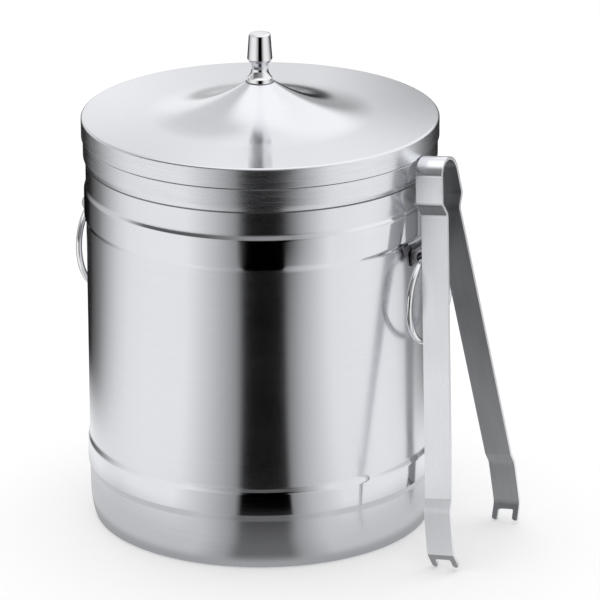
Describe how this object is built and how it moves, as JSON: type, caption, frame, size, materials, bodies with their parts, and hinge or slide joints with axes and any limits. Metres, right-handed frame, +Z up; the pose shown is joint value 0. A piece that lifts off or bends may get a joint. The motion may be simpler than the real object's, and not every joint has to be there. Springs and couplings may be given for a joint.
{
  "type": "ice bucket",
  "caption": "Double-wall cylindrical ice bucket in brushed steel with a lift-off lid and turned knob, ring handles on two sides, and bent-strip ice tongs leaning on it.",
  "frame": {"origin": "middle of the bucket's foot, on the table it stands on", "axes": "+Z up along the bucket's axis, +X through the right-hand ring handle, where the tongs stand"},
  "size_m": [0.1648, 0.13, 0.1825],
  "materials": {
    "body_satin": "satin, brushed around the axis",
    "rim_brushed": "brushed around the axis",
    "lid_satin": "satin, brushed round the knob",
    "liner_steel": "fine satin",
    "base_steel": "plain rolled",
    "tongs_satin": "satin, brushed lengthwise",
    "polished": "mirror polished",
    "screw_steel": "plain zinc"
  },
  "bodies": {
    "bucket": {"outer_shell": "body_satin", "base_plate": "base_steel", "inner_liner": "liner_steel", "rim_band": "rim_brushed", "lug_right": "polished", "lug_left": "polished"},
    "lid": {"lid_shell": "lid_satin", "lid_pan": "liner_steel", "lid_knob": "polished", "knob_washer": "screw_steel", "knob_screw": "screw_steel"},
    "right_ring": {"ring_right": "polished"},
    "left_ring": {"ring_left": "polished"},
    "tongs": {"tongs_bow": "tongs_satin"},
    "tongs_back": {"tongs_leg_back": "tongs_satin"},
    "tongs_front": {"tongs_leg_front": "tongs_satin"}
  },
  "joints": [
    {"name": "lid_lift", "type": "slide", "parent": "bucket", "child": "lid", "axis": [0, 0, 1], "range_m": [0, 0.16]},
    {"name": "ring_left_swing", "type": "hinge", "parent": "bucket", "child": "left_ring", "pos_m": [-0.0685, 0, 0.1093], "axis": [0, 1, 0], "range_deg": [-1, 188]},
    {"name": "tongs_away", "type": "slide", "parent": "bucket", "child": "tongs", "axis": [0.5736, 0, 0.8192], "range_m": [0, 0.17]},
    {"name": "ring_right_swing", "type": "hinge", "parent": "bucket", "child": "right_ring", "pos_m": [0.0685, 0, 0.1093], "axis": [0, -1, 0], "range_deg": [0, 183]},
    {"name": "tongs_back_squeeze", "type": "hinge", "parent": "tongs", "child": "tongs_back", "pos_m": [0.07119, 0.0056, 0.14025], "axis": [-0.9929, 0, -0.1193], "range_deg": [0, 9.76]},
    {"name": "tongs_front_squeeze", "type": "hinge", "parent": "tongs", "child": "tongs_front", "pos_m": [0.07119, -0.0056, 0.14025], "axis": [0.9929, 0, 0.1193], "range_deg": [0, 9.76]}
  ],
  "couplings": [
    {"joint": "ring_right_swing", "follows": "tongs_away", "rad_per_m": 18.788},
    {"joint": "tongs_back_squeeze", "follows": "tongs_away", "rad_per_m": 1.0023},
    {"joint": "tongs_front_squeeze", "follows": "tongs_away", "rad_per_m": 1.0023}
  ]
}
